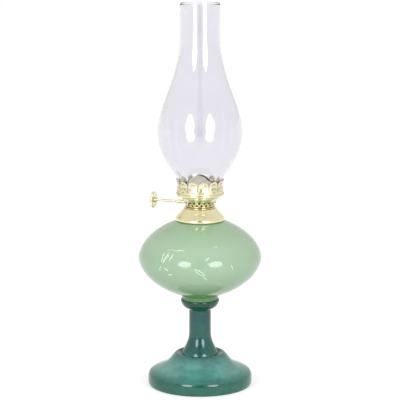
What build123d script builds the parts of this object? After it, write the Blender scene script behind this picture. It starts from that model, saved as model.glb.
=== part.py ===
from build123d import *
import math
import os

# Kerosene table lamp, millimetres, +Z up. The origin is the centre of the foot on the table.
# The wick spindle runs along X with its knob at -X, so the flat wick's wide faces look along Y.
# A hollow pressed-glass pedestal holds a blown glass font on a plaster joint. A spun brass collar
# is plastered over the font's neck. The burner screws into the collar: threaded base, perforated
# air basket, gallery ring with a sprung and pierced crown, flame dome, flat wick tube and wick raiser.
# The chimney stands in the crown and lifts off.

# ---- driving dimensions ----
TOTAL_H = 420.0  # table to chimney rim

FOOT_R = 57.25  # widest radius of the foot
FOOT_RING_IN, FOOT_RING_OUT = 50.6, 54.4  # flat ring that stands on the table
STEM_R = 11.95
CUP_R = 21.1
CUP_TOP_Z = 96.2

FONT_R = 67.5  # font: a slightly pointed spheroid (superellipse)
FONT_HALF_H = 45.0
FONT_MID_Z = 143.3
FONT_POWER = 1.78
FONT_WALL = 3.2
PEG_R = 19.85
NECK_R_OUT, NECK_R_IN, NECK_TOP_Z = 18.8, 16.2, 193.0

COLLAR_BAND_R = 26.7
COLLAR_BOTTOM_Z = 184.3
COLLAR_TOP_Z = 198.0
COLLAR_TOP_R = 17.7
THREAD_BORE_R = 15.0  # female thread, on its minor radius
THREAD_LEN = 8.0
THREAD_CLEAR = 0.15
SLEEVE_Z = 186.0  # lower end of the collar's thread sleeve
SHEET = 0.6  # spun brass sheet

SEAL_T = 0.4
BASE_FLANGE_R = 17.0
BASE_Z = COLLAR_TOP_Z + 0.02 + SEAL_T + 0.02  # underside of the burner's flange
PLATE_Z = BASE_Z + 0.7  # underside of the plate that closes the base
BASKET_Z = PLATE_Z + 0.6

RING_Z = 210.6  # underside of the gallery floor
RING_FLOOR_Z = RING_Z + 0.8
RING_R = 26.25
CROWN_PANELS = 13
CROWN_TIP_Z = 229.6
CROWN_T = 0.5

DOME_R = 14.0
DOME_MID_Z = 220.3
DOME_T = 0.5
SLOT_L, SLOT_W = 24.0, 5.8

WICK_W, WICK_T = 20.0, 2.4
WICK_TOP_Z = 228.0
WICK_END_Z = 112.5
TUBE_L, TUBE_W, TUBE_WALL = 21.8, 4.2, 0.5
TUBE_Z0, TUBE_Z1 = 176.0, 226.5

SPINDLE_R = 1.3
BEARING_R = 1.36
WHEEL_R = 3.6
WHEEL_ROOT_R = 2.7
WHEEL_TEETH = 12
WHEEL_T = 1.6
WHEEL_X = 5.0
SPINDLE_Y = -(WICK_T / 2 + 0.1 + WHEEL_R)
SPINDLE_Z = 204.2
KNOB_X = -52.3
KNOB_R = 8.9

CHIMNEY_BASE_R = 23.75
CHIMNEY_TOP_R = 21.6
GLASS_T = 1.6
CHIMNEY_Z = RING_FLOOR_Z + 0.05

os.makedirs("parts", exist_ok=True)


# ---- helpers ----
def v(p):
    return Vector(p[0], 0, p[1])


def line(*pts):
    """Straight edges through (radius, height) points."""
    return [Edge.make_line(v(a), v(b)) for a, b in zip(pts, pts[1:])]


def unit(x, z):
    n = math.hypot(x, z)
    return (x / n, z / n)


def arc_or_line(p, t, q):
    """The arc that leaves p along t and ends at q."""
    dx, dz = q[0] - p[0], q[1] - p[1]
    side = t[0] * dz - t[1] * dx
    if abs(side) < 1e-5 * math.hypot(dx, dz):
        return Edge.make_line(v(p), v(q))
    radius = (dx * dx + dz * dz) / (2 * side)
    cx, cz = p[0] - t[1] * radius, p[1] + t[0] * radius
    a0 = math.atan2(p[1] - cz, p[0] - cx)
    a1 = math.atan2(q[1] - cz, q[0] - cx)
    turn = a1 - a0
    while turn * side < 0:
        turn += math.copysign(2 * math.pi, side)
    am = a0 + turn / 2
    return Edge.make_three_point_arc(v(p), v((cx + abs(radius) * math.cos(am), cz + abs(radius) * math.sin(am))), v(q))


def curve(pts, t0=None, t1=None):
    """Tangent arcs, two for each interval, through (radius, height) points, with optional end directions."""
    n = len(pts)
    dirs = []
    for i in range(1, n - 1):
        a, b, c = pts[i - 1], pts[i], pts[i + 1]
        la, lc = math.dist(a, b), math.dist(b, c)
        u, w = unit(b[0] - a[0], b[1] - a[1]), unit(c[0] - b[0], c[1] - b[1])
        dirs.append(unit(u[0] / la + w[0] / lc, u[1] / la + w[1] / lc))

    def mirrored(p, q, t):
        u = unit(q[0] - p[0], q[1] - p[1])
        k = 2 * (u[0] * t[0] + u[1] * t[1])
        return (k * u[0] - t[0], k * u[1] - t[1])

    straight = unit(pts[1][0] - pts[0][0], pts[1][1] - pts[0][1])
    first = unit(*t0) if t0 else (mirrored(pts[0], pts[1], dirs[0]) if dirs else straight)
    last = unit(*t1) if t1 else (mirrored(pts[-2], pts[-1], dirs[-1]) if dirs else straight)
    dirs = [first] + dirs + [last]
    made = []
    for i in range(n - 1):
        p, q, t, s = pts[i], pts[i + 1], dirs[i], dirs[i + 1]
        ux, uz = q[0] - p[0], q[1] - p[1]
        sx, sz = t[0] + s[0], t[1] + s[1]
        a = 2 * (1 - (t[0] * s[0] + t[1] * s[1]))
        b = ux * sx + uz * sz
        c = ux * ux + uz * uz
        if a < 1e-9:
            d = c / (2 * b)
        else:
            d = (-b + math.sqrt(b * b + a * c)) / a
        mid = ((p[0] + q[0] + d * (t[0] - s[0])) / 2, (p[1] + q[1] + d * (t[1] - s[1])) / 2)
        made.append(arc_or_line(p, t, mid))
        back = arc_or_line(q, (-s[0], -s[1]), mid)
        made.append(back)
    return made


def turned(edges):
    """A solid of revolution about Z from a closed loop of edges."""
    face = Face(Wire(edges))
    made = revolve(face, Axis.Z, 360)
    return made


def offset_points(pts, d):
    """The same points moved by d to the left of the direction of travel."""
    out = []
    for i, p in enumerate(pts):
        a = pts[max(i - 1, 0)]
        b = pts[min(i + 1, len(pts) - 1)]
        tx, tz = b[0] - a[0], b[1] - a[1]
        n = math.hypot(tx, tz)
        out.append((p[0] - tz / n * d, p[1] + tx / n * d))
    return out


def cyl(r, z0, z1, x=0.0, y=0.0):
    return Pos(x, y, z0) * Cylinder(r, z1 - z0, align=(Align.CENTER, Align.CENTER, Align.MIN))


def tube_z(r_out, r_in, z0, z1, x=0.0, y=0.0):
    return cyl(r_out, z0, z1, x, y) - cyl(r_in, z0 - 1, z1 + 1, x, y)


def cyl_x(r, x0, x1, y, z):
    return Pos(x0, y, z) * Rot(0, 90, 0) * Cylinder(r, x1 - x0, align=(Align.CENTER, Align.CENTER, Align.MIN))


def stadium(length, width, z0, z1):
    return Pos(0, 0, z0) * extrude(SlotOverall(length, width), z1 - z0)


def radial(shape_xy, angle, r0, r1):
    """Extrudes a sketch drawn in (sideways, up) coordinates outward along a radius."""
    a = math.radians(angle)
    out = Vector(math.cos(a), math.sin(a), 0)
    plane = Plane(origin=out * r0, x_dir=Vector(-math.sin(a), math.cos(a), 0), z_dir=out)
    # the plane's own y direction is z_dir x x_dir = +Z
    return extrude(plane * shape_xy, r1 - r0)


def save(shape, name):
    export_step(shape, "parts/" + name + ".step")


def font_z(r, up=True, a=FONT_R, b=FONT_HALF_H):
    k = (1 - (r / a) ** FONT_POWER) ** (1 / FONT_POWER) * b
    return FONT_MID_Z + (k if up else -k)


def font_curve(r_bottom, r_top, a=FONT_R, b=FONT_HALF_H, n=15):
    """Points of the font's wall from its bottom to its top."""
    def angle_of(r):
        return math.acos((r / a) ** (FONT_POWER / 2))
    t0, t1 = -angle_of(r_bottom), angle_of(r_top)
    pts = []
    for i in range(n):
        t = t0 + (t1 - t0) * i / (n - 1)
        c, s = math.cos(t), math.sin(t)
        pts.append((a * c ** (2 / FONT_POWER), FONT_MID_Z + math.copysign(b * abs(s) ** (2 / FONT_POWER), s)))
    return pts


# ---- pedestal: one hollow piece of glass, foot, dished step, flared stem and cup ----
foot_out = [(FOOT_RING_OUT, 0.0), (56.6, 1.6), (FOOT_R, 8.0), (54.9, 15.2), (48, 19.1), (40, 22.8), (34, 27.6), (29.6, 33.0), (27.4, 35.2), (25.0, 36.1)]
dish = [(25.0, 36.1), (21.6, 34.0), (19.95, 33.15)]
stem = [(19.95, 33.15), (19.3, 36.3), (16.3, 42.7), (13.4, 49.7), (12.2, 55.5), (STEM_R, 63.0)]
cup_out = [(STEM_R, 84.4), (17.2, 87.6), (20.0, 91.3), (CUP_R, 94.6), (20.55, CUP_TOP_Z)]
cup_in = [(20.55, CUP_TOP_Z), (20.2, 95.8), (19.75, 94.6), (18.2, 92.5), (15.9, 91.2), (14.5, 91.0), (0, 91.0)]
hollow = [(7.9, 77.0), (8.4, 62.0), (10.0, 48.8), (14.0, 38.0), (18.6, 31.2), (23.0, 30.4), (28.0, 29.0), (31.8, 24.7), (39.2, 19.6), (47.5, 15.7), (53.0, 11.4), (53.6, 6.0), (FOOT_RING_IN, 0.0)]
pedestal = turned(
    line((FOOT_RING_IN, 0.0), (FOOT_RING_OUT, 0.0))
    + curve(foot_out, (1, 0.1), (-1, 0))
    + curve(dish, (-1, -0.25), (-1, -0.05))
    + curve(stem, (-0.02, 1), (0, 1))
    + line((STEM_R, 63.0), (STEM_R, 84.4))
    + curve(cup_out)
    + line(*cup_in)
    + line((0, 91.0), (0, 81.0))
    + curve([(0, 81.0), (4.5, 80.2), (7.0, 78.6), (7.9, 77.0)])
    + curve(hollow)
)
save(pedestal, "pedestal")

# ---- plaster in the cup ----
peg_cement = turned(line((0, 91.05), (14.5, 91.05), (15.85, 91.25), (18.1, 92.6), (19.45, 94.5), (19.12, 94.7), (17.5, 93.1), (15.5, 92.3), (0, 92.3), (0, 91.05)))
save(peg_cement, "peg_cement")

# ---- font: blown glass bowl with a solid peg below and an open neck above ----
wall_out = font_curve(22.6, 21.8, n=8)
wall_in = font_curve(6.0, 17.6, FONT_R - FONT_WALL, FONT_HALF_H - FONT_WALL, 8)
bottom_z = FONT_MID_Z - (FONT_HALF_H - FONT_WALL)
font = turned(
    line((0, 92.4), (15.5, 92.4), (17.45, 93.2), (19.05, 94.8))
    + curve([(19.05, 94.8), (19.6, 95.6), (19.9, 96.7), (PEG_R, 98.0), (19.95, 99.6), (20.7, 100.9), wall_out[0]])
    + curve(wall_out)
    + curve([wall_out[-1], (20.0, 186.0), (19.1, 187.1), (NECK_R_OUT, 188.4)])
    + line((NECK_R_OUT, 188.4), (NECK_R_OUT, NECK_TOP_Z), (NECK_R_IN, NECK_TOP_Z), (NECK_R_IN, 186.5))
    + curve([(NECK_R_IN, 186.5), (16.35, 184.4), (16.8, 183.0), wall_in[-1]])
    + curve(wall_in[::-1])
    + curve([wall_in[0], (3.0, bottom_z + 0.05), (0, bottom_z)])
    + line((0, bottom_z), (0, 92.4))
)
save(font, "font")

# ---- collar: spun brass cone with a rolled band, its thread sleeve turned down inside ----
collar = turned(
    curve([(25.6, COLLAR_BOTTOM_Z), (26.35, 184.6), (COLLAR_BAND_R, 185.8), (26.6, 187.2), (26.0, 188.1)])
    + line((26.0, 188.1), (25.55, 188.35), (COLLAR_TOP_R + 0.25, 197.7), (COLLAR_TOP_R - 0.2, COLLAR_TOP_Z), (THREAD_BORE_R, COLLAR_TOP_Z),
           (THREAD_BORE_R, SLEEVE_Z), (THREAD_BORE_R + 0.8, SLEEVE_Z),
           (THREAD_BORE_R + 0.8, 197.2), (17.1, 197.2), (24.7, 187.9), (25.3, 187.1), (25.6, 185.9), (25.6, COLLAR_BOTTOM_Z))
)
save(collar, "font_collar")

collar_cement = turned(line((18.9, 188.5), (24.0, 188.5), (17.05, 196.95), (16.0, 196.95), (16.0, 193.1), (18.9, 193.1), (18.9, 188.5)))
save(collar_cement, "collar_cement")

# ---- seal ring between collar and burner ----
save(tube_z(16.6, 15.3, COLLAR_TOP_Z + 0.02, COLLAR_TOP_Z + 0.02 + SEAL_T), "seal_ring")

# ---- burner base: flange and screw sleeve ----
male_r = THREAD_BORE_R - THREAD_CLEAR
base = turned(
    line((male_r - 0.8, COLLAR_TOP_Z - THREAD_LEN), (male_r, COLLAR_TOP_Z - THREAD_LEN), (male_r, BASE_Z), (BASE_FLANGE_R - 0.2, BASE_Z),
         (BASE_FLANGE_R, BASE_Z + 0.2), (BASE_FLANGE_R, PLATE_Z - 0.2), (BASE_FLANGE_R - 0.2, PLATE_Z), (male_r - 0.8, PLATE_Z),
         (male_r - 0.8, COLLAR_TOP_Z - THREAD_LEN))
)
save(base, "burner_base")

VENT_Y = 7.0
plate = cyl(15.4, PLATE_Z, BASKET_Z) - stadium(TUBE_L + 0.1, TUBE_W + 0.1, PLATE_Z - 1, BASKET_Z + 1) - cyl(1.55, PLATE_Z - 1, BASKET_Z + 1, 0, VENT_Y)
save(plate, "base_plate")
save(tube_z(1.5, 1.0, 189.0, 203.4, 0, VENT_Y), "vent_tube")

# ---- wick tube: flat tube with two windows for the wick wheels ----
wick_tube = stadium(TUBE_L, TUBE_W, TUBE_Z0, TUBE_Z1) - stadium(TUBE_L - 2 * TUBE_WALL, TUBE_W - 2 * TUBE_WALL, TUBE_Z0 - 1, TUBE_Z1 + 1)
for sx in (-WHEEL_X, WHEEL_X):
    wick_tube -= Pos(sx, -2.2, SPINDLE_Z) * Box(WHEEL_T + 1.0, 1.8, 5.6)
save(wick_tube, "wick_tube")

# ---- raiser housing: sheet box soldered to the tube, with bearing holes ----
HOUSE_Z1 = 208.6
house = Pos(0, -(TUBE_W / 2 + 3.6), (BASKET_Z + 0.02 + HOUSE_Z1) / 2) * Box(17.0, 7.2, HOUSE_Z1 - BASKET_Z - 0.02)
house -= Pos(0, -(TUBE_W / 2 + 3.35 - 1), (BASKET_Z + HOUSE_Z1) / 2 - 0.75) * Box(16.0, 8.7, HOUSE_Z1 - BASKET_Z + 0.5)
house -= cyl_x(BEARING_R, -12, 12, SPINDLE_Y, SPINDLE_Z)
save(house, "raiser_housing")

# ---- spindle sleeve from the housing out through the basket ----
sleeve = cyl_x(1.9, -24.0, -8.52, SPINDLE_Y, SPINDLE_Z) - cyl_x(BEARING_R, -30, 0, SPINDLE_Y, SPINDLE_Z)
save(sleeve, "spindle_sleeve")

# ---- air basket: perforated bowl ----
basket = turned(
    line((13.6, BASKET_Z), (15.3, BASKET_Z), (20.25, 209.7), (20.6, 209.98), (21.9, 209.98), (21.9, RING_Z - 0.01), (20.0, RING_Z - 0.01),
         (14.95, BASKET_Z + SHEET), (13.6, BASKET_Z + SHEET), (13.6, BASKET_Z))
)
cutters = []
HOLE_R = 1.1
for z, r, phase in ((202.3, 16.5, 0.0), (205.1, 18.0, 9.0)):
    for k in range(20):
        ang = -64.0 + phase + 18.0 * k
        near = abs((ang - 196.5 + 180) % 360 - 180)
        if near < 14:
            continue
        cutters.append(radial(Pos(0, z) * Circle(HOLE_R), ang, r - 4, r + 4))
cutters.append(cyl_x(1.95, -26, -12, SPINDLE_Y, SPINDLE_Z))
basket = basket - cutters
save(basket, "air_basket")

# ---- gallery ring: the dish that the chimney stands in ----
ring = turned(
    line((18.6, RING_Z), (22.6, RING_Z))
    + curve([(22.6, RING_Z), (24.5, 211.05), (25.7, 212.1), (RING_R, 213.6), (26.05, 214.6), (25.6, 214.95)])
    + line((25.6, 214.95), (25.4, 214.6), (25.4, 213.2), (24.9, 211.95), (24.4, RING_FLOOR_Z), (18.6, RING_FLOOR_Z), (18.6, RING_Z))
)
save(ring, "gallery_ring")

# ---- gallery crown: thirteen sprung and pierced panels that hold the chimney ----
crown_out = [(24.85, 212.2), (25.5, 215.6), (24.55, 223.2), (26.3, CROWN_TIP_Z)]
crown_in = [(r - CROWN_T, z) for r, z in crown_out]
crown = turned(line(*crown_out, *crown_in[::-1], crown_out[0]))
PITCH = 360.0 / CROWN_PANELS
PANEL_W = 2 * math.pi * 25.6 / CROWN_PANELS
PANEL_0 = -70.0 + 9.0  # direction of one panel's middle
half = PANEL_W / 2
notch = make_face(
    [
        Spline((-half, CROWN_TIP_Z + 0.2), (-half + 2.6, CROWN_TIP_Z - 0.7), (-1.0, 226.6), (-0.35, 224.6)),
        Line((-0.35, 224.6), (-0.35, 217.6)),
        ThreePointArc((-0.35, 217.6), (0, 217.25), (0.35, 217.6)),
        Line((0.35, 217.6), (0.35, 224.6)),
        Spline((0.35, 224.6), (1.0, 226.6), (half - 2.6, CROWN_TIP_Z - 0.7), (half, CROWN_TIP_Z + 0.2)),
        Line((half, CROWN_TIP_Z + 0.2), (half, CROWN_TIP_Z + 2)),
        Line((half, CROWN_TIP_Z + 2), (-half, CROWN_TIP_Z + 2)),
        Line((-half, CROWN_TIP_Z + 2), (-half, CROWN_TIP_Z + 0.2)),
    ]
)
eye = make_face(
    [
        ThreePointArc((-2.3, 224.6), (0, 226.9), (2.3, 224.6)),
        ThreePointArc((2.3, 224.6), (2.0, 224.1), (1.55, 224.45)),
        ThreePointArc((1.55, 224.45), (0, 225.75), (-1.55, 224.45)),
        ThreePointArc((-1.55, 224.45), (-2.0, 224.1), (-2.3, 224.6)),
    ]
)
crown_cuts = []
for k in range(CROWN_PANELS):
    mid = PANEL_0 + k * PITCH
    crown_cuts.append(radial(notch, mid + PITCH / 2, 21, 30))
    crown_cuts.append(radial(eye, mid, 21, 30))
    crown_cuts.append(radial(Pos(-2.1, 221.3) * Circle(0.8), mid, 21, 30))
    crown_cuts.append(radial(Pos(2.1, 221.3) * Circle(0.8), mid, 21, 30))
    crown_cuts.append(radial(Pos(0, 217.4) * Circle(0.95), mid, 21, 30))
crown = crown - crown_cuts
save(crown, "gallery_crown")

# ---- flame dome with the wick slot ----
def dome_wall(radius, lift=0.0):
    arc = [(radius * math.sin(math.radians(a)), DOME_MID_Z + radius * math.cos(math.radians(a))) for a in (0, 15, 30, 45, 60, 75, 88)]
    return arc

outer = dome_wall(DOME_R) + [(14.5, 217.6), (16.3, 215.5), (18.9, 214.0), (20.8, 212.7)]
inner = offset_points(outer, -DOME_T)
inner[0] = (0, DOME_MID_Z + DOME_R - DOME_T)
dome = turned(
    curve(outer, (1, 0), (0.9, -1))
    + line(outer[-1], (21.35, RING_FLOOR_Z + 0.02), (20.75, RING_FLOOR_Z + 0.02), inner[-1])
    + curve(inner[::-1], (-0.9, 1), (-1, 0))
    + line(inner[0], outer[0])
)
dome = dome - (Pos(0, 0, 227.4) * extrude(SlotOverall(SLOT_L, SLOT_W), 12))
save(dome, "flame_dome")

# ---- wick raiser: spindle, two toothed wheels, knob ----
spindle = cyl_x(SPINDLE_R, KNOB_X - 2.5, 9.4, SPINDLE_Y, SPINDLE_Z)
head = Pos(KNOB_X - 2.5, SPINDLE_Y, SPINDLE_Z) * Rot(0, -90, 0) * Cylinder(1.9, 0.5, align=(Align.CENTER, Align.CENTER, Align.MIN))
head = fillet(head.edges().filter_by(GeomType.CIRCLE).sort_by(Axis.X)[0], 0.35)
save(spindle + head, "spindle")


def wheel_sketch():
    pts = []
    for k in range(WHEEL_TEETH):
        a = 2 * math.pi * k / WHEEL_TEETH
        w = 2 * math.pi / WHEEL_TEETH
        pts.append((WHEEL_R * math.cos(a - w * 0.07), WHEEL_R * math.sin(a - w * 0.07)))
        pts.append((WHEEL_R * math.cos(a + w * 0.07), WHEEL_R * math.sin(a + w * 0.07)))
        pts.append((WHEEL_ROOT_R * math.cos(a + w * 0.36), WHEEL_ROOT_R * math.sin(a + w * 0.36)))
        pts.append((WHEEL_ROOT_R * math.cos(a + w * 0.64), WHEEL_ROOT_R * math.sin(a + w * 0.64)))
    return make_face(Polyline(*pts, close=True)) - Circle(SPINDLE_R)


wheels = []
for sx in (-WHEEL_X, WHEEL_X):
    wheels.append(Pos(sx - WHEEL_T / 2, SPINDLE_Y, SPINDLE_Z) * Rot(0, 90, 0) * extrude(wheel_sketch(), WHEEL_T))
save(Compound(children=wheels), "wick_wheels")

# knob disc: dished both sides, milled edge, drawn about Z and then turned onto the spindle
knob_profile = (
    line((2.5, -0.75), (4.2, -0.75))
    + curve([(4.2, -0.75), (6.2, -0.9), (7.4, -1.25), (8.3, -1.3)])
    + curve([(8.3, -1.3), (8.8, -0.8), (KNOB_R, 0.0), (8.8, 0.8), (8.3, 1.3)])
    + curve([(8.3, 1.3), (7.4, 1.25), (6.2, 0.9), (4.2, 0.75)])
    + line((4.2, 0.75), (2.5, 0.75), (2.5, -0.75))
)
knob = turned(knob_profile)
mill = [Rot(0, 0, 10 * k) * (Pos(KNOB_R + 0.22, 0, -2) * Cylinder(0.45, 4, align=(Align.CENTER, Align.CENTER, Align.MIN))) for k in range(36)]
knob = knob - mill
place = Pos(KNOB_X, SPINDLE_Y, SPINDLE_Z) * Rot(0, 90, 0)
save(place * knob, "knob_disc")
hub = turned(
    line((SPINDLE_R, -2.3), (2.2, -2.3), (2.5, -2.0), (2.5, 3.0), (2.1, 3.6), (SPINDLE_R, 3.6), (SPINDLE_R, -2.3))
)
save(place * hub, "knob_hub")

# ---- wick: flat woven cotton, its tail hanging into the font in a slack S ----
BEND_R, BEND = 60.0, 22.0
straight = Edge.make_line(Vector(0, 0, WICK_TOP_Z), Vector(0, 0, 166.0))
a = math.radians(BEND)
p1 = Vector(0, BEND_R * (1 - math.cos(a)), 166.0 - BEND_R * math.sin(a))
m1 = Vector(0, BEND_R * (1 - math.cos(a / 2)), 166.0 - BEND_R * math.sin(a / 2))
arc1 = Edge.make_three_point_arc(Vector(0, 0, 166.0), m1, p1)
# second arc bends back to hang straight down
c2 = Vector(0, 2 * p1.Y, p1.Z - BEND_R * math.sin(a))
m2 = Vector(0, 2 * p1.Y - m1.Y, 2 * p1.Z - m1.Z)
arc2 = Edge.make_three_point_arc(p1, m2, c2)
tail = Edge.make_line(c2, Vector(0, c2.Y, WICK_END_Z))
path = Wire([straight, arc1, arc2, tail])
section = Plane(origin=(0, 0, WICK_TOP_Z), x_dir=(1, 0, 0), z_dir=(0, 0, -1)) * RectangleRounded(WICK_W, WICK_T, 0.6)
wick = sweep(section, path)
save(wick, "wick")

# ---- chimney: clear blown glass, straight base, full belly, long straight neck ----
glass_out = [(CHIMNEY_BASE_R, 225.0), (25.2, 231.6), (29.9, 238.7), (35.8, 247.7), (40.9, 257.6), (44.3, 268.5), (45.4, 280.5),
             (44.4, 293.0), (41.0, 306.5), (36.3, 320.0), (31.3, 333.6), (26.9, 348.2), (23.85, 360.8), (22.2, 374.0), (CHIMNEY_TOP_R, 392.0)]
glass_in = offset_points(glass_out, GLASS_T)
glass_in[0] = (CHIMNEY_BASE_R - GLASS_T, 225.0)
glass_in[-1] = (CHIMNEY_TOP_R - GLASS_T, 392.0)
zb, zt = CHIMNEY_Z, TOTAL_H
chimney = turned(
    line((CHIMNEY_BASE_R - GLASS_T, zb), (CHIMNEY_BASE_R, zb), (CHIMNEY_BASE_R, 225.0))
    + curve(glass_out, (0, 1), (0, 1))
    + line((CHIMNEY_TOP_R, 392.0), (CHIMNEY_TOP_R, zt - 0.8))
    + [Edge.make_three_point_arc(v((CHIMNEY_TOP_R, zt - 0.8)), v((CHIMNEY_TOP_R - 0.8, zt)), v((CHIMNEY_TOP_R - 1.6, zt - 0.8)))]
    + line((CHIMNEY_TOP_R - GLASS_T, zt - 0.8), (CHIMNEY_TOP_R - GLASS_T, 392.0))
    + curve(glass_in[::-1], (0, -1), (0, -1))
    + line((CHIMNEY_BASE_R - GLASS_T, 225.0), (CHIMNEY_BASE_R - GLASS_T, zb))
)
save(chimney, "chimney")
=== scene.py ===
import math

import bmesh
import bpy
from mathutils import Matrix, Vector
from mathutils.geometry import delaunay_2d_cdt


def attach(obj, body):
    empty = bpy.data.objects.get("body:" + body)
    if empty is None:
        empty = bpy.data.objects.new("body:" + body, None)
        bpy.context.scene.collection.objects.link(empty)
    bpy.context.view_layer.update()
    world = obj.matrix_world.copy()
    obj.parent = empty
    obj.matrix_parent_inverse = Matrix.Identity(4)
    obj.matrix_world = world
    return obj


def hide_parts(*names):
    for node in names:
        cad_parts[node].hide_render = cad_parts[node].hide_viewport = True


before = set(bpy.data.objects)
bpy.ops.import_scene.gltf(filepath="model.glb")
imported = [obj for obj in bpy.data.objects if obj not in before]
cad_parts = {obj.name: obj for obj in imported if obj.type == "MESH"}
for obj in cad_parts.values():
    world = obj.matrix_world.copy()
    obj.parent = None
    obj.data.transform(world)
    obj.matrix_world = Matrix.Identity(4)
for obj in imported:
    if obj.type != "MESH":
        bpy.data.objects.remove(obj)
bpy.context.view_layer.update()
MM = 0.001


# ------------------------------------------------------------------ geometry helpers (lengths in mm)
def smooth(pts, step=0.8):
    """A centripetal Catmull-Rom curve through (r, z) points."""
    p = [Vector(q) for q in pts]
    p = [p[0] * 2 - p[1]] + p + [p[-1] * 2 - p[-2]]
    out = []
    for i in range(1, len(p) - 2):
        a, b, c, d = p[i - 1 : i + 3]
        t0 = 0.0
        t1 = t0 + max((b - a).length, 1e-6) ** 0.5
        t2 = t1 + max((c - b).length, 1e-6) ** 0.5
        t3 = t2 + max((d - c).length, 1e-6) ** 0.5
        k = max(2, int(math.ceil((c - b).length / step)))
        for j in range(k):
            t = t1 + (t2 - t1) * j / k
            a1 = a * ((t1 - t) / (t1 - t0)) + b * ((t - t0) / (t1 - t0))
            a2 = b * ((t2 - t) / (t2 - t1)) + c * ((t - t1) / (t2 - t1))
            a3 = c * ((t3 - t) / (t3 - t2)) + d * ((t - t2) / (t3 - t2))
            b1 = a1 * ((t2 - t) / (t2 - t0)) + a2 * ((t - t0) / (t2 - t0))
            b2 = a2 * ((t3 - t) / (t3 - t1)) + a3 * ((t - t1) / (t3 - t1))
            q = b1 * ((t2 - t) / (t2 - t1)) + b2 * ((t - t1) / (t2 - t1))
            out.append((max(q.x, 0.0), q.y))
    out.append(tuple(pts[-1]))
    return out


def chain(*parts):
    """Joins point lists into one loop and drops repeats."""
    out = []
    for part in parts:
        for q in part:
            if not out or math.dist(out[-1], q) > 1e-4:
                out.append((q[0], q[1]))
    if math.dist(out[0], out[-1]) < 1e-4:
        out.pop()
    return out


def offset(pts, d):
    """The points moved by d to the left of the direction of travel."""
    out = []
    for i, q in enumerate(pts):
        a, b = pts[max(i - 1, 0)], pts[min(i + 1, len(pts) - 1)]
        tx, tz = b[0] - a[0], b[1] - a[1]
        n = math.hypot(tx, tz) or 1.0
        out.append((q[0] - tz / n * d, q[1] + tx / n * d))
    return out


def circle_r(radius, n=8):
    return [(radius * math.cos(2 * math.pi * i / n), radius * math.sin(2 * math.pi * i / n)) for i in range(n)]


def put(bm, name, sharp=32.0, place=None, scale=MM):
    """Turns a bmesh drawn in mm into an object in metres, smooth shaded except along its hard edges."""
    if place is not None:
        bm.transform(place)
    bm.transform(Matrix.Scale(scale, 4))
    bmesh.ops.recalc_face_normals(bm, faces=bm.faces)
    me = bpy.data.meshes.new(name)
    bm.to_mesh(me)
    bm.free()
    me.shade_smooth()
    me.set_sharp_from_angle(angle=math.radians(sharp))
    ob = bpy.data.objects.new(name, me)
    bpy.context.scene.collection.objects.link(ob)
    return ob


def lathe_bm(loop, seg=160, mod=None, angles=None):
    """A closed body of revolution about Z from a closed (r, z) loop; mod(angle, r, z) may return a new (r, z)."""
    bm = bmesh.new()
    angles = angles or [2 * math.pi * i / seg for i in range(seg)]
    rings = []
    for r, z in loop:
        if r < 1e-5:
            rings.append([bm.verts.new((0, 0, z))])
        else:
            ring = []
            for t in angles:
                rr, zz = mod(t, r, z) if mod else (r, z)
                ring.append(bm.verts.new((rr * math.cos(t), rr * math.sin(t), zz)))
            rings.append(ring)
    n = len(angles)
    for i in range(len(loop)):
        a, b = rings[i], rings[(i + 1) % len(loop)]
        if len(a) == 1 and len(b) == 1:
            continue
        for k in range(n):
            m = (k + 1) % n
            if len(a) == 1:
                bm.faces.new((a[0], b[m], b[k]))
            elif len(b) == 1:
                bm.faces.new((a[k], a[m], b[0]))
            else:
                bm.faces.new((a[k], a[m], b[m], b[k]))
    return bm


def lathe(name, loop, seg=160, mod=None, angles=None, sharp=32.0, place=None):
    return put(lathe_bm(loop, seg, mod, angles), name, sharp, place)


def prism(bm, outline, ang, r0, r1, mid=None):
    """Adds the radial extrusion of a (sideways, up) outline, drawn about the direction ang in degrees and true to size at radius mid."""
    mid = mid or (r0 + r1) / 2
    a = math.radians(ang)
    out, side = Vector((math.cos(a), math.sin(a), 0)), Vector((-math.sin(a), math.cos(a), 0))
    near = [bm.verts.new(out * r0 + side * (u * r0 / mid) + Vector((0, 0, w))) for u, w in outline]
    far = [bm.verts.new(out * r1 + side * (u * r1 / mid) + Vector((0, 0, w))) for u, w in outline]
    n = len(outline)
    bm.faces.new(near[::-1])
    bm.faces.new(far)
    for i in range(n):
        m = (i + 1) % n
        bm.faces.new((near[i], near[m], far[m], far[i]))


def cut(bm, cutters):
    """Exact boolean difference, both drawn in mm; returns a new bmesh."""
    objs = []
    for b in (bm, cutters):
        bmesh.ops.recalc_face_normals(b, faces=b.faces)
        me = bpy.data.meshes.new("tmp")
        b.to_mesh(me)
        b.free()
        ob = bpy.data.objects.new("tmp", me)
        bpy.context.scene.collection.objects.link(ob)
        objs.append(ob)
    m = objs[0].modifiers.new("cut", "BOOLEAN")
    m.operation = "DIFFERENCE"
    m.solver = "EXACT"
    m.object = objs[1]
    ev = objs[0].evaluated_get(bpy.context.evaluated_depsgraph_get())
    out = bmesh.new()
    out.from_mesh(ev.to_mesh())
    ev.to_mesh_clear()
    for ob in objs:
        me = ob.data
        bpy.data.objects.remove(ob)
        bpy.data.meshes.remove(me)
    bmesh.ops.remove_doubles(out, verts=out.verts, dist=1e-4)
    bmesh.ops.dissolve_degenerate(out, dist=1e-4, edges=out.edges)
    return out


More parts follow.
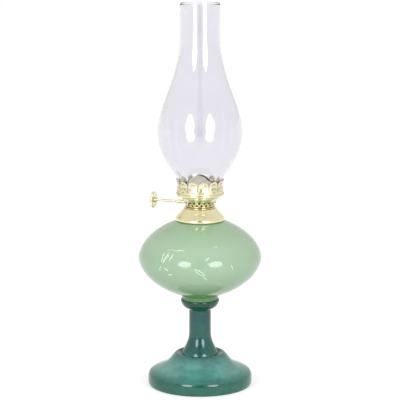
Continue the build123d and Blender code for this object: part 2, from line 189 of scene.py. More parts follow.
# ------------------------------------------------------------------ material helpers
class Mat:
    def __init__(self, name):
        self.m = bpy.data.materials.new(name)
        self.m.use_nodes = True
        self.t = self.m.node_tree
        self.b = self.t.nodes["Principled BSDF"]
        self.out = self.t.nodes["Material Output"]
        self.co = self.node("ShaderNodeTexCoord").outputs["Object"]

    def node(self, kind, **kw):
        n = self.t.nodes.new(kind)
        for k, val in kw.items():
            if k in n.inputs:
                n.inputs[k].default_value = val
            else:
                setattr(n, k, val)
        return n

    def link(self, a, b):
        self.t.links.new(a, b)

    def set(self, **kw):
        for k, val in kw.items():
            self.b.inputs[k.replace("_", " ")].default_value = val
        return self

    def noise(self, scale, detail=4.0, rough=0.55, stretch=None, distortion=0.0):
        n = self.node("ShaderNodeTexNoise", Scale=scale, Detail=detail, Roughness=rough, Distortion=distortion)
        if stretch:
            mp = self.node("ShaderNodeMapping")
            mp.inputs["Scale"].default_value = stretch
            self.link(self.co, mp.inputs["Vector"])
            self.link(mp.outputs["Vector"], n.inputs["Vector"])
        else:
            self.link(self.co, n.inputs["Vector"])
        return n.outputs["Fac"]

    def ramp(self, fac, stops, interp="LINEAR"):
        r = self.node("ShaderNodeValToRGB")
        r.color_ramp.interpolation = interp
        el = r.color_ramp.elements
        while len(el) < len(stops):
            el.new(0.5)
        for e, (pos, col) in zip(el, stops):
            e.position = pos
            e.color = col if len(col) == 4 else (*col, 1.0)
        self.link(fac, r.inputs["Fac"])
        return r.outputs["Color"]

    def span(self, fac, lo, hi, a=0.0, b=1.0):
        n = self.node("ShaderNodeMapRange")
        n.inputs["From Min"].default_value = a
        n.inputs["From Max"].default_value = b
        n.inputs["To Min"].default_value = lo
        n.inputs["To Max"].default_value = hi
        self.link(fac, n.inputs["Value"])
        return n.outputs["Result"]

    def mix(self, fac, a, b, mode="MIX"):
        n = self.node("ShaderNodeMix", data_type="RGBA", blend_type=mode)
        if isinstance(fac, float):
            n.inputs[0].default_value = fac
        else:
            self.link(fac, n.inputs[0])
        for s, val in ((n.inputs[6], a), (n.inputs[7], b)):
            if isinstance(val, tuple):
                s.default_value = (*val, 1.0) if len(val) == 3 else val
            else:
                self.link(val, s)
        return n.outputs[2]

    def bump(self, height, dist=0.0001, strength=0.5, after=None):
        n = self.node("ShaderNodeBump")
        n.inputs["Strength"].default_value = strength
        n.inputs["Distance"].default_value = dist
        self.link(height, n.inputs["Height"])
        if after is not None:
            self.link(after, n.inputs["Normal"])
        self.link(n.outputs["Normal"], self.b.inputs["Normal"])
        return n.outputs["Normal"]

    def height(self):
        sep = self.node("ShaderNodeSeparateXYZ")
        self.link(self.co, sep.inputs["Vector"])
        return sep.outputs["Z"]


def give(ob, *mats):
    ob.data.materials.clear()
    for m in mats:
        ob.data.materials.append(m.m)


# clear chimney glass
clear = Mat("clear_glass").set(Transmission_Weight=1.0, IOR=1.5)
clear.link(clear.ramp(clear.noise(14.0), [(0.3, (0.865, 0.857, 0.897)), (0.7, (0.90, 0.893, 0.926))]), clear.b.inputs["Base Color"])
clear.link(clear.span(clear.noise(60.0, 6.0), 0.0, 0.035, 0.35, 0.75), clear.b.inputs["Roughness"])
clear.bump(clear.noise(22.0, 2.0, stretch=(1, 1, 0.35)), 0.0003, 0.12)

# teal pressed glass
teal = Mat("teal_glass").set(IOR=1.5, Subsurface_Weight=0.12, Subsurface_Scale=0.006)
teal.set(Subsurface_Radius=(0.4, 1.0, 0.9))
# colour by height: the lighter band on the foot's shoulder, about 16 to 33 mm up, is a painted highlight; the low
# foot, the stem and the cup are darker
t_col = teal.ramp(
    teal.span(teal.height(), 0.0, 1.0, 0.0, 0.1),
    [(0.0, (0.018, 0.122, 0.094)), (0.12, (0.016, 0.115, 0.086)), (0.16, (0.050, 0.20, 0.165)), (0.20, (0.110, 0.34, 0.285)), (0.27, (0.100, 0.30, 0.255)),
     (0.33, (0.070, 0.22, 0.190)), (0.38, (0.014, 0.108, 0.092)), (0.80, (0.009, 0.096, 0.082)), (0.90, (0.007, 0.068, 0.036)), (1.0, (0.007, 0.068, 0.034))],
)
t_mot = teal.ramp(teal.noise(55.0, 6.0, 0.65), [(0.35, (0.66, 0.66, 0.68)), (0.66, (1.0, 1.0, 1.0))])
t_col = teal.mix(1.0, t_col, t_mot, "MULTIPLY")
t_mot2 = teal.ramp(teal.noise(260.0, 6.0, 0.6, stretch=(1, 1, 0.5)), [(0.35, (0.84, 0.86, 0.86)), (0.66, (1.0, 1.0, 1.0))])
t_col = teal.mix(1.0, t_col, t_mot2, "MULTIPLY")
teal.link(t_col, teal.b.inputs["Base Color"])
teal.link(teal.span(teal.noise(90.0, 5.0), 0.02, 0.09, 0.3, 0.75), teal.b.inputs["Roughness"])
teal.bump(teal.noise(35.0, 3.0), 0.0005, 0.16)

# pale green font glass: deeper in colour towards the bottom, partly for the thicker glass there and partly painted
# shade on the underside; slightly darker again at the top, a painted reflection of the collar
green = Mat("green_glass").set(IOR=1.5, Transmission_Weight=0.2, Subsurface_Weight=0.3, Subsurface_Scale=0.008)
green.set(Subsurface_Radius=(0.8, 1.0, 0.7))
g_z = green.span(green.height(), 0.0, 1.0, 0.096, 0.188)
g_col = green.ramp(
    g_z,
    [(0.0, (0.05, 0.20, 0.035)), (0.08, (0.075, 0.23, 0.05)), (0.17, (0.20, 0.36, 0.175)), (0.27, (0.27, 0.41, 0.25)), (0.45, (0.31, 0.445, 0.30)), (0.72, (0.385, 0.53, 0.36)), (1.0, (0.34, 0.52, 0.30))],
)
g_col = green.mix(green.span(green.noise(24.0, 3.0), 0.0, 0.28), g_col, (0.42, 0.54, 0.45))
green.link(g_col, green.b.inputs["Base Color"])
green.link(green.span(green.noise(70.0, 5.0), 0.02, 0.09, 0.3, 0.75), green.b.inputs["Roughness"])
green.bump(green.noise(26.0, 3.0), 0.0004, 0.10)

# the cut leaves: frosted facets
frost = Mat("cut_frost").set(IOR=1.5, Transmission_Weight=0.1)
frost.link(frost.ramp(frost.noise(900.0, 3.0), [(0.3, (0.50, 0.64, 0.48)), (0.7, (0.68, 0.79, 0.65))]), frost.b.inputs["Base Color"])
frost.link(frost.span(frost.noise(400.0), 0.35, 0.6), frost.b.inputs["Roughness"])
frost.bump(frost.noise(2500.0, 3.0), 0.00005, 0.6)


def brass(name, lo, hi, r0, r1, tarnish, scratch=(1, 1, 14)):
    m = Mat(name).set(Metallic=1.0)
    col = m.ramp(m.noise(45.0, 5.0), [(0.3, lo), (0.72, hi)])
    patch = m.ramp(m.noise(120.0, 8.0, 0.7), [(0.52, (0, 0, 0)), (0.74, (1, 1, 1))])
    dull = m.node("ShaderNodeMath", operation="MULTIPLY")
    m.link(patch, dull.inputs[0])
    dull.inputs[1].default_value = tarnish
    m.link(m.mix(dull.outputs[0], col, (0.34, 0.20, 0.075)), m.b.inputs["Base Color"])
    fine = m.noise(260.0, 6.0, 0.6, stretch=scratch)
    m.link(m.span(fine, r0, r1, 0.25, 0.8), m.b.inputs["Roughness"])
    m.bump(fine, 0.00006, 0.22)
    return m


polished = brass("brass_polished", (0.74, 0.665, 0.41), (0.86, 0.81, 0.56), 0.10, 0.24, 0.22)
burner_brass = brass("brass_burner", (0.78, 0.66, 0.32), (0.88, 0.78, 0.44), 0.22, 0.42, 0.6)
collar_metal = brass("brass_collar", (0.84, 0.76, 0.43), (0.94, 0.89, 0.60), 0.12, 0.26, 0.16)
crown_metal = brass("brass_crown", (0.74, 0.67, 0.43), (0.86, 0.80, 0.58), 0.20, 0.36, 0.22)
dome_metal = brass("brass_dome", (0.86, 0.81, 0.60), (0.94, 0.91, 0.74), 0.24, 0.40, 0.14)
# very dark brass for the burner's inner parts and the basket's inside: painted shade
painted_shade_brass = brass("brass_painted_shade", (0.16, 0.11, 0.045), (0.26, 0.19, 0.08), 0.35, 0.6, 0.7)
knob_brass = brass("brass_knob", (0.72, 0.67, 0.44), (0.84, 0.80, 0.58), 0.18, 0.34, 0.25, scratch=(14, 1, 1))
steel = brass("spindle_metal", (0.66, 0.58, 0.44), (0.78, 0.70, 0.55), 0.2, 0.36, 0.4, scratch=(14, 1, 1))

plaster = Mat("plaster").set(Metallic=0.0)
plaster.link(plaster.ramp(plaster.noise(160.0, 8.0), [(0.3, (0.52, 0.47, 0.38)), (0.7, (0.72, 0.68, 0.60))]), plaster.b.inputs["Base Color"])
plaster.link(plaster.span(plaster.noise(90.0), 0.8, 0.98), plaster.b.inputs["Roughness"])
plaster.bump(plaster.noise(700.0, 8.0), 0.0003, 0.7)

rubber = Mat("seal_rubber")
rubber.link(rubber.ramp(rubber.noise(200.0), [(0.3, (0.20, 0.13, 0.06)), (0.7, (0.34, 0.24, 0.13))]), rubber.b.inputs["Base Color"])
rubber.link(rubber.span(rubber.noise(300.0), 0.6, 0.85), rubber.b.inputs["Roughness"])
rubber.bump(rubber.noise(900.0), 0.0001, 0.5)

cotton = Mat("cotton_wick").set(Sheen_Weight=0.4, Sheen_Roughness=0.6)
c_base = cotton.ramp(cotton.noise(600.0, 6.0), [(0.3, (0.60, 0.55, 0.44)), (0.7, (0.80, 0.76, 0.66))])
c_top = cotton.span(cotton.height(), 0.0, 0.85, 0.2245, 0.2285)
cotton.link(cotton.mix(c_top, c_base, (0.10, 0.075, 0.05)), cotton.b.inputs["Base Color"])
cotton.link(cotton.span(cotton.noise(500.0), 0.85, 0.98), cotton.b.inputs["Roughness"])
cotton.bump(cotton.noise(1800.0, 6.0), 0.0002, 0.8)

# ------------------------------------------------------------------ pedestal
foot = smooth([(54.4, 0.0), (55.4, 0.25), (56.3, 0.9), (57.1, 3.6), (57.25, 8.0), (56.55, 12.6), (54.9, 15.2), (52, 17.1), (48, 19.1), (44, 20.9),
               (40, 22.8), (36.6, 25.0), (34, 27.6), (31.6, 30.5), (29.6, 33.0), (27.9, 34.9), (26.4, 35.9), (25.0, 36.1), (23.2, 35.3),
               (21.6, 34.0), (20.6, 33.3), (20.0, 33.2)])
stem = smooth([(19.9, 33.3), (19.85, 34.3), (19.3, 36.3), (18.0, 39.2), (16.3, 42.7), (14.7, 46.2), (13.4, 49.7), (12.5, 53.2), (12.05, 57.6), (11.95, 63.0)])
shaft = [(11.95, 63.0 + 2.3 * i) for i in range(1, 9)]
cup = smooth([(11.97, 83.4), (12.25, 84.5), (14.6, 85.9), (17.2, 87.6), (18.9, 89.4), (20.0, 91.3), (20.75, 93.1), (21.1, 94.6), (20.95, 95.7), (20.55, 96.2), (20.2, 95.8), (19.75, 94.6)], 0.5)
cup_in = [(18.2, 92.5), (15.9, 91.2), (14.5, 91.0), (0.0, 91.0)]
under = smooth([(0.0, 81.0), (4.5, 80.2), (7.0, 78.6), (7.9, 77.0), (8.2, 70.0), (8.4, 62.0), (8.8, 54.5), (9.9, 49.0), (11.8, 43.5), (14.0, 38.0), (16.0, 33.6),
                (18.6, 30.6), (22.0, 30.3), (25.0, 31.3), (27.3, 30.2), (29.4, 27.6), (31.8, 24.7), (35.0, 21.9), (39.2, 19.6), (43.5, 17.6),
                (47.5, 15.7), (51.0, 13.6), (53.0, 11.4), (53.8, 8.0), (53.2, 4.0), (52.0, 1.4), (50.6, 0.0)], 1.2)
pedestal = lathe("pedestal_glass", chain(foot, stem, shaft, cup, cup_in, under), 192, sharp=48)
give(pedestal, teal)
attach(pedestal, "stand")
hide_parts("pedestal")

# ------------------------------------------------------------------ font, with a sprig of cut leaves
A, B, MID, POW, WALL = 67.2, 45.0, 143.3, 1.78, 3.2


def bulb(r_bottom, r_top, a, b, n):
    t0 = -math.acos((r_bottom / a) ** (POW / 2))
    t1 = math.acos((r_top / a) ** (POW / 2))
    out = []
    for i in range(n):
        t = t0 + (t1 - t0) * i / (n - 1)
        c, s = math.cos(t), math.sin(t)
        out.append((a * c ** (2 / POW), MID + math.copysign(b * abs(s) ** (2 / POW), s)))
    return out


def even(pts, step):
    """Resamples a polyline to even steps."""
    out, left = [pts[0]], step
    for a, b in zip(pts, pts[1:]):
        d = math.dist(a, b)
        while d >= left:
            k = left / d
            a = (a[0] + (b[0] - a[0]) * k, a[1] + (b[1] - a[1]) * k)
            out.append(a)
            d -= left
            left = step
        left -= d
    if math.dist(out[-1], pts[-1]) < step * 0.3:
        out.pop()
    out.append(pts[-1])
    return out


# strokes as (angle in degrees, height in mm), with a width and a depth
STROKES = [
    ([(-106.6, 147.7), (-104.6, 153.1), (-102.6, 158.3)], 1.5, 0.42),
    ([(-108.4, 148.5), (-108.3, 153.6), (-107.8, 157.7)], 1.1, 0.3),
    ([(-94.9, 160.8), (-90.8, 161.6), (-86.5, 161.5)], 1.1, 0.3),
    ([(-99.9, 150.7), (-98.7, 154.8)], 1.0, 0.28),
    ([(-98.3, 153.3), (-97.3, 157.9)], 1.0, 0.28),
    ([(-102.6, 153.4), (-101.4, 156.5)], 0.9, 0.25),
    ([(-104.5, 142.7), (-102.4, 141.0), (-100.4, 139.9)], 1.1, 0.3),
    ([(-101.1, 135.2), (-98.9, 135.8), (-96.7, 135.8)], 1.0, 0.28),
    ([(-75.2, 144.1), (-71.6, 142.6), (-68.0, 139.8), (-65.2, 136.3)], 0.8, 0.2),
    ([(-74.6, 143.0), (-73.0, 139.8), (-68.9, 136.9), (-65.6, 136.0)], 0.7, 0.18),
    ([(-67.0, 135.1), (-63.1, 131.3)], 0.9, 0.25),
    ([(-64.2, 152.4), (-62.8, 154.2), (-61.2, 155.2)], 1.0, 0.28),
    ([(-40.3, 146.5), (-38.2, 140.9)], 0.8, 0.22),
    ([(-55.4, 165.3), (-53.2, 165.3), (-51.0, 165.1)], 0.8, 0.22),
    ([(-104.4, 160.7), (-102.9, 161.1)], 0.9, 0.25),
    ([(-101.0, 161.5), (-99.4, 161.5)], 0.9, 0.25),
    ([(-97.5, 161.4), (-96.0, 161.0)], 0.9, 0.25),
    ([(-108.5, 144.2), (-109.6, 141.4), (-110.2, 138.4)], 0.8, 0.22),
]


def on_bulb(ang, z):
    r = A * (1 - (abs(z - MID) / B) ** POW) ** (1 / POW)
    t = math.radians(ang)
    return Vector((r * math.cos(t), r * math.sin(t), z))


SEGS = []
for pts, width, depth in STROKES:
    p3 = [on_bulb(*q) for q in pts]
    for i, (a, b) in enumerate(zip(p3, p3[1:])):
        SEGS.append((a, b, width / 2, depth, i == 0, i == len(p3) - 2))


def groove(p):
    best = 0.0
    for a, b, w, depth, first, last in SEGS:
        if abs(p.z - (a.z + b.z) / 2) > 6:
            continue
        ab = b - a
        t = (p - a).dot(ab) / ab.length_squared
        t = min(max(t, 0.0), 1.0)
        d = (p - (a + ab * t)).length
        # strokes taper towards their ends
        taper = 1.0
        if first:
            taper = min(taper, 0.45 + 0.55 * min(1.0, t * 3))
        if last:
            taper = min(taper, 0.45 + 0.55 * min(1.0, (1 - t) * 3))
        if d < w * taper:
            best = max(best, depth * taper * (1 - (d / (w * taper)) ** 2))
    return best


outer = even(bulb(22.6, 21.8, A, B, 1200), 0.9)
dense = []
for a, b in zip(outer, outer[1:]):
    k = 3 if a[0] > 55 and 129 < a[1] < 167 else 1
    dense += [(a[0] + (b[0] - a[0]) * j / k, a[1] + (b[1] - a[1]) * j / k) for j in range(k)]
dense.append(outer[-1])
inner = bulb(6.0, 17.6, A - WALL, B - WALL, 60)
peg = smooth([(19.05, 94.8), (19.6, 95.6), (19.9, 96.7), (19.85, 98.0), (19.95, 99.6), (20.7, 100.9), (22.6, dense[0][1])], 0.4)
neck = smooth([dense[-1], (20.0, 186.0), (19.1, 187.1), (18.8, 188.4)], 0.4)
throat = smooth([(16.2, 186.5), (16.35, 184.4), (16.8, 183.0), inner[-1]], 0.5)
floor_z = MID - (B - WALL)
font_loop = chain([(0, 92.4), (15.5, 92.4), (17.45, 93.2)], peg, dense, neck, [(18.8, 193.0), (16.2, 193.0)], throat, inner[::-1], [(3.0, floor_z + 0.05), (0, floor_z)])
fine = [math.radians(x) for x in [-112 + 0.3 * i for i in range(int(76 / 0.3) + 1)]]
rest = []
x = -36.2 + 2.2
while x < 360 - 112 - 1.2:
    rest.append(math.radians(x))
    x += 2.2


def engrave(t, r, z):
    if r > 55 and 129 < z < 167 and -1.97 < t < -0.62 and (r / A) ** POW + (abs(z - MID) / B) ** POW > 0.97:
        d = groove(Vector((r * math.cos(t), r * math.sin(t), z)))
        return r - d, z
    return r, z


font = lathe("font_glass", font_loop, angles=fine + rest, mod=engrave, sharp=40)
give(font, green, frost)
me = font.data
cut_faces = 0
for p in me.polygons:
    c = p.center / MM
    r, t = math.hypot(c.x, c.y), math.atan2(c.y, c.x)
    if r > 54 and 129 < c.z < 167 and -1.97 < t < -0.62 and (r / A) ** POW + (abs(c.z - MID) / B) ** POW > 0.95:
        if groove(on_bulb(math.degrees(t), c.z)) > 0.02:
            p.material_index = 1
            cut_faces += 1
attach(font, "stand")
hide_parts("font")

# ------------------------------------------------------------------ collar, seal, burner base
collar = lathe(
    "collar_brass",
    chain(
        smooth([(25.6, 184.3), (26.1, 184.4), (26.55, 184.9), (26.7, 185.8), (26.6, 187.0), (26.15, 187.9), (25.6, 188.35), (25.3, 188.75)], 0.25),
        smooth([(25.0, 189.1), (22.4, 191.95), (20.0, 194.6), (18.3, 196.9), (17.95, 197.6), (17.5, 198.0)], 0.6),
        [(15.0, 198.0), (15.0, 186.0), (15.8, 186.0), (15.8, 197.2), (17.1, 197.2), (24.7, 187.9)],
        smooth([(25.2, 187.0), (25.5, 185.9), (25.6, 184.8)], 0.4),
    ),
    192,
)
give(collar, collar_metal)
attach(collar, "stand")
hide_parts("font_collar")

seal = lathe("seal", chain(smooth([(16.5, 198.03), (16.6, 198.22), (16.5, 198.41)], 0.1), smooth([(15.4, 198.41), (15.3, 198.22), (15.4, 198.03)], 0.1)), 128)
give(seal, rubber)
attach(seal, "seal")
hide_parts("seal_ring")

PITCH = 2.0


def thread(t, r, z):
    if r > 14.8 and z < 197.9:
        fade = min(1.0, max(0.0, (z - 190.2) / 0.8)) * min(1.0, max(0.0, (197.8 - z) / 0.8))
        wave = 0.5 + 0.5 * math.cos(2 * math.pi * (z / PITCH - t / (2 * math.pi)))
        return r - 0.42 * wave * fade, z
    return r, z


sleeve = [(14.85, 190.05 + 0.2 * i) for i in range(43)]
base_z, plate_z = 198.44, 199.14
base = lathe(
    "burner_base_threaded",
    chain([(14.05, 190.0)], sleeve, [(14.85, base_z), (16.8, base_z), (16.95, base_z + 0.12), (17.0, base_z + 0.35), (16.95, plate_z - 0.1), (16.8, plate_z), (14.05, plate_z)]),
    160,
    mod=thread,
    sharp=50,
)
give(base, polished)
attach(base, "burner")
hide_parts("burner_base")

# ------------------------------------------------------------------ air basket
SY, SZ = -4.9, 204.2
basket_z = 199.74
bm = lathe_bm(
    chain(
        [(13.6, basket_z), (15.0, basket_z)],
        smooth([(15.3, basket_z + 0.05), (16.2, 201.8), (17.6, 204.4), (19.0, 207.3), (20.0, 209.35), (20.3, 209.75), (20.8, 209.98)], 0.5),
        [(21.9, 209.98), (21.9, 210.59), (20.1, 210.59)],
        smooth([(19.75, 210.2), (18.45, 207.55), (17.05, 204.65), (15.7, 202.1), (14.95, 200.75)], 0.5),
        [(13.6, 200.72)],
    ),
    180,
)
cutters = bmesh.new()
for z, phase in ((202.3, 0.0), (205.1, 9.0)):
    for k in range(20):
        ang = -64.0 + phase + 18.0 * k
        if abs((ang - 196.5 + 180) % 360 - 180) < 14:
            continue
        prism(cutters, [(u, z + w) for u, w in circle_r(1.3, 20)], ang, 12.5, 24)
# the way out for the spindle sleeve
ring0 = circle_r(1.98, 24)
near = [cutters.verts.new((-11.0, SY + u, SZ + w)) for u, w in ring0]
far = [cutters.verts.new((-26.0, SY + u, SZ + w)) for u, w in ring0]
cutters.faces.new(near)
cutters.faces.new(far[::-1])
for i in range(24):
    m = (i + 1) % 24
    cutters.faces.new((near[i], far[i], far[m], near[m]))
basket = put(cut(bm, cutters), "air_basket_pierced", 30)
give(basket, polished, painted_shade_brass)
# faces turned inward, below the basket's top, take the dark brass: painted shade inside the basket
for p in basket.data.polygons:
    c, n = p.center, p.normal
    if (c.x * n.x + c.y * n.y) / math.hypot(c.x, c.y) < -0.2 and c.z < 0.2095:
        p.material_index = 1
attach(basket, "burner")
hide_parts("air_basket")

# ------------------------------------------------------------------ gallery ring
ring = lathe(
    "gallery_ring_brass",
    chain(
        [(18.6, 210.6), (22.0, 210.6)],
        smooth([(22.6, 210.62), (23.7, 210.8), (24.7, 211.15), (25.7, 212.1), (26.15, 213.2), (26.22, 213.9), (26.0, 214.6), (25.75, 214.93), (25.5, 214.8), (25.4, 214.4), (25.4, 213.2), (24.95, 212.1), (24.2, 211.5), (23.6, 211.4)], 0.3),
        [(18.6, 211.4)],
    ),
    192,
)
give(ring, polished)
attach(ring, "burner")
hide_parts("gallery_ring")

# ------------------------------------------------------------------ gallery crown: sprung and pierced panels
PANELS, TIP = 13, 229.6
STEP = 360.0 / PANELS
HALF = math.pi * 25.6 / PANELS
PANEL_0 = -61.0
wall = smooth([(24.85, 212.2), (25.3, 213.9), (25.5, 216.0), (25.2, 218.6), (24.75, 221.2), (24.55, 223.3), (24.85, 225.4), (25.5, 227.6), (26.15, 229.2), (26.25, TIP)], 0.5)


def arc(cx, cz, r, a0, a1, n):
    return [(cx + r * math.cos(math.radians(a0 + (a1 - a0) * i / n)), cz + r * math.sin(math.radians(a0 + (a1 - a0) * i / n))) for i in range(n + 1)]


def radius_at(z):
    for a, b in zip(wall, wall[1:]):
        if a[1] <= z <= b[1] + 1e-9:
            return a[0] + (b[0] - a[0]) * (z - a[1]) / (b[1] - a[1])
    return wall[0][0] if z < wall[0][1] else wall[-1][0]


def inside(q, loop):
    hit = False
    for a, b in zip(loop, loop[1:] + loop[:1]):
        if (a[1] > q[1]) != (b[1] > q[1]) and q[0] < a[0] + (b[0] - a[0]) * (q[1] - a[1]) / (b[1] - a[1]):
            hit = not hit
    return hit


# one panel's outline: joined to its neighbours along the band below, a slot between them above
rise = smooth([(HALF - 0.32, 223.9), (HALF - 0.55, 225.4), (HALF - 1.3, 227.0), (HALF - 2.6, 228.4), (HALF - 4.2, 229.25), (0.0, TIP)], 0.5)
side = [(HALF, 212.2 + (217.3 - 212.2) * i / 8) for i in range(9)]
right = side + [(HALF - 0.18, 217.35), (HALF - 0.3, 217.55)] + [(HALF - 0.32, 217.8 + 6.1 * i / 10) for i in range(10)] + rise
foot_line = [(-HALF + 2 * HALF * i / 12, 212.2) for i in range(1, 12)]
panel = right + [(-u, z) for u, z in right[:-1][::-1]] + foot_line
eye = arc(0, 224.7, 2.3, 175, 5, 14) + [(1.9, 224.35)] + arc(0, 224.7, 1.5, 5, 175, 10) + [(-1.9, 224.35)]
holes = [eye] + [[(u + du, z + dz) for du, dz in circle_r(r, 18)] for u, z, r in ((-2.1, 221.3, 0.8), (2.1, 221.3, 0.8), (0, 217.4, 0.95), (0, 222.6, 0.5))]


def away(q, loop, d):
    return all(math.dist(q, w) > d for w in loop)


pts = [Vector(q) for q in panel]
edges = [(i, (i + 1) % len(panel)) for i in range(len(panel))]
for loop in holes:
    k = len(pts)
    pts += [Vector(q) for q in loop]
    edges += [(k + i, k + (i + 1) % len(loop)) for i in range(len(loop))]
for i in range(-20, 21):
    for j in range(0, 36):
        q = (i * 0.6, 212.5 + j * 0.5)
        if inside(q, panel) and away(q, panel, 0.25) and all(not inside(q, h) and away(q, h, 0.25) for h in holes):
            pts.append(Vector(q))
flat, _, tris, _, _, _ = delaunay_2d_cdt(pts, edges, [], 0, 1e-5)
keep = []
for tri in tris:
    c = (sum(flat[i].x for i in tri) / 3, sum(flat[i].y for i in tri) / 3)
    if inside(c, panel) and not any(inside(c, h) for h in holes):
        keep.append(tri)
bm = bmesh.new()
for k in range(PANELS):
    mid = math.radians(PANEL_0 + k * STEP)
    vs = []
    for q in flat:
        # each panel bows out a little between its slots
        lift = 0.22 * max(0.0, math.cos(q.x / HALF * math.pi / 2)) * max(0.0, min(1.0, (q.y - 216.5) / 3.0))
        t, r = mid + q.x / 25.6, radius_at(q.y) + lift - 0.11
        vs.append(bm.verts.new((r * math.cos(t), r * math.sin(t), q.y)))
    for tri in keep:
        bm.faces.new([vs[i] for i in tri])
bmesh.ops.delete(bm, geom=[x for x in bm.verts if not x.link_faces], context="VERTS")
bmesh.ops.remove_doubles(bm, verts=bm.verts, dist=2e-3)
border = [e for e in bm.edges if len(e.link_faces) == 1]
skin = list(bm.faces)
twin = {}
for x in list(bm.verts):
    r = math.hypot(x.co.x, x.co.y)
    twin[x] = bm.verts.new((x.co.x * (r - 0.45) / r, x.co.y * (r - 0.45) / r, x.co.z))
for f in skin:
    bm.faces.new([twin[x] for x in reversed(f.verts)])
for e in border:
    a, b = e.verts
    bm.faces.new((a, b, twin[b], twin[a]))
crown = put(bm, "gallery_crown_pierced", 38)
give(crown, crown_metal)
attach(crown, "burner")
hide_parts("gallery_crown")

# ------------------------------------------------------------------ flame dome
dome_out = [(14.0 * math.sin(math.radians(a)), 220.3 + 14.0 * math.cos(math.radians(a))) for a in range(0, 91, 4)]
dome_out = chain(dome_out, smooth([(14.02, 219.6), (14.5, 217.6), (16.3, 215.5), (18.9, 214.0), (20.8, 212.7), (21.35, 211.45)], 0.5))
dome_in = offset(dome_out, -0.5)
dome_in[0] = (0.0, 233.8)
bm = lathe_bm(chain(dome_out, [(20.75, 211.45)], dome_in[::-1][1:]), 160)
cutters = bmesh.new()
slot = arc(9.1, 0, 2.9, -90, 90, 12) + arc(-9.1, 0, 2.9, 90, 270, 12)
low = [cutters.verts.new((x, y, 227.0)) for x, y in slot]
top = [cutters.verts.new((x, y, 237.0)) for x, y in slot]
cutters.faces.new(low[::-1])
cutters.faces.new(top)
for i in range(len(slot)):
    m = (i + 1) % len(slot)
    cutters.faces.new((low[i], low[m], top[m], top[i]))
dome = put(cut(bm, cutters), "flame_dome_slotted", 30)
give(dome, dome_metal)
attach(dome, "burner")
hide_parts("flame_dome")

# ------------------------------------------------------------------ spindle and knob
along_x = Matrix.Translation((0, SY, SZ)) @ Matrix.Rotation(math.radians(90), 4, "Y")
spindle = lathe(
    "spindle_rod",
    chain([(0, -55.3)], smooth([(1.5, -55.25), (1.85, -55.0), (1.9, -54.8)], 0.2), [(1.3, -54.78)], [(1.3, -54.7 + 3.0 * i) for i in range(21)], [(1.3, 9.1), (1.0, 9.4), (0, 9.4)]),
    32,
    place=along_x,
)
give(spindle, steel)
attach(spindle, "raiser")
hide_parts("spindle")


def knurl(t, r, z):
    if r > 8.2:
        k = min(1.0, (r - 8.2) / 0.5)
        return r - 0.30 * k * (0.5 + 0.5 * math.cos(48 * t)), z
    return r, z


side = smooth([(4.2, -0.75), (6.2, -0.9), (7.4, -1.22), (8.3, -1.3), (8.75, -0.95), (8.9, 0.0), (8.75, 0.95), (8.3, 1.3), (7.4, 1.22), (6.2, 0.9), (4.2, 0.75)], 0.35)
at_knob = along_x @ Matrix.Translation((0, 0, -52.3))
disc = lathe("knob_knurled", chain([(2.5, -0.75)], side, [(2.5, 0.75)]), 384, mod=knurl, place=at_knob, sharp=40)
give(disc, knob_brass)
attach(disc, "raiser")
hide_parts("knob_disc")
hub = lathe(
    "knob_boss",
    chain([(1.3, -2.3)], smooth([(2.1, -2.3), (2.4, -2.15), (2.5, -1.8)], 0.2), [(2.5, 2.7)], smooth([(2.5, 3.0), (2.35, 3.4), (2.0, 3.6)], 0.2), [(1.3, 3.6)]),
    64,
    place=at_knob,
)
give(hub, knob_brass)
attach(hub, "raiser")
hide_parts("knob_hub")

# ------------------------------------------------------------------ woven wick along the strip's slack S
BEND_R, BEND = 60.0, math.radians(22)
line = []
z = 228.0
while z > 166.0:
    line.append((0.0, z))
    z -= 0.5
for i in range(47):
    a = BEND * i / 46
    line.append((BEND_R * (1 - math.cos(a)), 166.0 - BEND_R * math.sin(a)))
y1, z1 = line[-1]
for i in range(1, 47):
    a = BEND * (1 - i / 46)
    line.append((2 * y1 - BEND_R * (1 - math.cos(a)), z1 - BEND_R * (math.sin(BEND) - math.sin(a))))
y2, z = line[-1]
while z > 113.0:
    z -= 0.5
    line.append((y2, max(z, 112.5)))
bm = bmesh.new()
rows = []
COLS = 54
run = 0.0
for i, (y, z) in enumerate(line):
    a, b = line[max(i - 1, 0)], line[min(i + 1, len(line) - 1)]
    ty, tz = b[0] - a[0], b[1] - a[1]
    n = math.hypot(ty, tz)
    ny, nz = -tz / n, ty / n
    run += math.dist(a, b) / 2
    ring_ = []
    for k in range(2 * COLS):
        front = k < COLS
        s = (k if front else 2 * COLS - 1 - k) / (COLS - 1)
        u = -9.95 + 19.9 * s
        edge = min(1.0, (10.0 - abs(u)) / 0.7)
        # plaited ribs
        rib = 0.13 * abs(math.sin(math.pi * (u / 1.25 + (0.5 if int(run / 1.0) % 2 else 0.0)))) + 0.05 * math.sin(math.pi * run / 1.0)
        half = (0.98 + rib) * (0.35 + 0.65 * math.sqrt(max(edge, 0.0)))
        s_ = half if front else -half
        ring_.append(bm.verts.new((u, y + ny * s_, z + nz * s_)))
    rows.append(ring_)
for a, b in zip(rows, rows[1:]):
    for k in range(2 * COLS):
        m = (k + 1) % (2 * COLS)
        bm.faces.new((a[k], a[m], b[m], b[k]))
for end in (rows[0], rows[-1]):
    for k in range(COLS - 1):
        bm.faces.new((end[k], end[k + 1], end[2 * COLS - 2 - k], end[2 * COLS - 1 - k]))
wick = put(bm, "wick_woven", 60)
give(wick, cotton)
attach(wick, "wick")
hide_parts("wick")

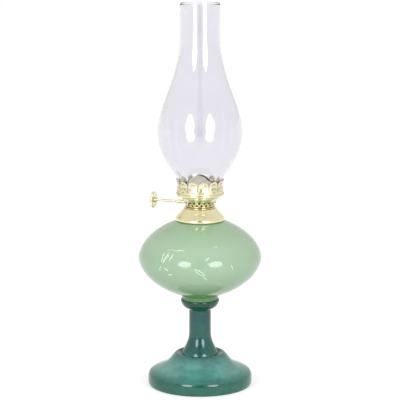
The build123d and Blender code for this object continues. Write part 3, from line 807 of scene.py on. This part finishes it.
# ------------------------------------------------------------------ chimney
glass = smooth([(23.75, 223.0), (23.8, 225.0), (24.15, 228.2), (25.2, 231.6), (27.2, 234.9), (29.9, 238.7), (32.9, 243.2), (35.8, 247.7), (40.9, 257.6), (44.3, 268.5), (45.4, 280.5), (44.4, 293.0), (41.0, 306.5),
                (36.3, 320.0), (31.3, 333.6), (26.9, 348.2), (23.85, 360.8), (22.2, 374.0), (21.62, 390.0), (21.6, 396.0)], 1.5)
low = [(23.75, 211.45 + 0.3), (23.75, 215.0), (23.75, 219.0)]
high = [(21.6, 396.0 + 3.0 * i) for i in range(1, 8)] + [(21.6, 419.2)]
rim = arc(20.8, 419.2, 0.8, 0, 180, 10)
outer_wall = chain(low, glass, high)
inner_wall = offset(outer_wall, 1.6)
foot_edge = [(22.15, 211.75), (22.4, 211.5), (23.5, 211.5)]
chimney = lathe("chimney_glass", chain(outer_wall, rim, inner_wall[::-1][1:], foot_edge), 192, sharp=50)
give(chimney, clear)
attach(chimney, "chimney")
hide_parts("chimney")

# ------------------------------------------------------------------ carried-over CAD nodes
# base plate, vent tube, wick tube and raiser housing take the dark brass as painted shade inside the burner; the
# cement, sleeve and wheels keep their own colours
for node, m in (("peg_cement", plaster), ("collar_cement", plaster), ("base_plate", painted_shade_brass), ("vent_tube", painted_shade_brass), ("wick_tube", painted_shade_brass),
                ("raiser_housing", painted_shade_brass), ("spindle_sleeve", burner_brass), ("wick_wheels", steel)):
    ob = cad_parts[node]
    if ob.data.materials:
        for i in range(len(ob.data.materials)):
            ob.data.materials[i] = m.m
    else:
        ob.data.materials.append(m.m)

# ------------------------------------------------------------------ floor, light, camera
floor_bm = bmesh.new()
bmesh.ops.create_grid(floor_bm, x_segments=1, y_segments=1, size=12000)
floor = put(floor_bm, "floor")
floor.location.z = -0.0002
white = Mat("floor_white")
white.set(Roughness=0.9)
white.b.inputs["Base Color"].default_value = (0.5, 0.5, 0.5, 1)
white.b.inputs["Emission Color"].default_value = (1, 1, 1, 1)
white.b.inputs["Emission Strength"].default_value = 0.56
give(floor, white)

world = bpy.data.worlds.new("studio")
bpy.context.scene.world = world
world.use_nodes = True
wt = world.node_tree
bg = wt.nodes["Background"]
bg.inputs["Color"].default_value = (1, 1, 1, 1)
bg.inputs["Strength"].default_value = 0.85

AZ = math.radians(20.0)


def area(name, az, el, dist, w, h, power, aim=(0, 0, 0.16)):
    light = bpy.data.lights.new(name, "AREA")
    light.shape = "ELLIPSE"
    light.size, light.size_y = w, h
    light.energy = power
    ob = bpy.data.objects.new(name, light)
    bpy.context.scene.collection.objects.link(ob)
    a, e = AZ + math.radians(az), math.radians(el)
    ob.location = Vector(aim) + Vector((math.sin(a) * math.cos(e), -math.cos(a) * math.cos(e), math.sin(e))) * dist
    ob.rotation_euler = (Vector(aim) - ob.location).to_track_quat("-Z", "Y").to_euler()
    return ob


area("soft_left", -29, 15, 1.5, 0.66, 0.74, 9)
area("soft_right", 29, 15, 1.5, 0.66, 0.74, 9)

# a dark card behind the camera, seen only in reflections
card_bm = bmesh.new()
bmesh.ops.create_grid(card_bm, x_segments=1, y_segments=1, size=1)
card = put(card_bm, "dark_card", scale=1.0)
card.scale = (0.42, 1.3, 1)
card.location = (2.6 * math.sin(AZ), -2.6 * math.cos(AZ), 1.0)
card.rotation_euler = (math.radians(90), 0, AZ)
black = Mat("card_black").set(Roughness=0.9)
black.b.inputs["Base Color"].default_value = (0.03, 0.03, 0.035, 1)
give(card, black)
card.visible_camera = False

cam = bpy.data.cameras.new("camera")
cam.sensor_width = 36.0
cam.lens = 173.8
cam.clip_end = 50
cam_ob = bpy.data.objects.new("camera", cam)
bpy.context.scene.collection.objects.link(cam_ob)
D, H, P = 2.0671, 0.588, math.radians(10.466)
cam_ob.location = (D * math.sin(AZ), -D * math.cos(AZ), H)
look = Vector((-math.sin(AZ) * math.cos(P), math.cos(AZ) * math.cos(P), -math.sin(P)))
cam_ob.rotation_euler = look.to_track_quat("-Z", "Y").to_euler()
bpy.context.scene.camera = cam_ob
bpy.context.scene.view_settings.view_transform = "Standard"
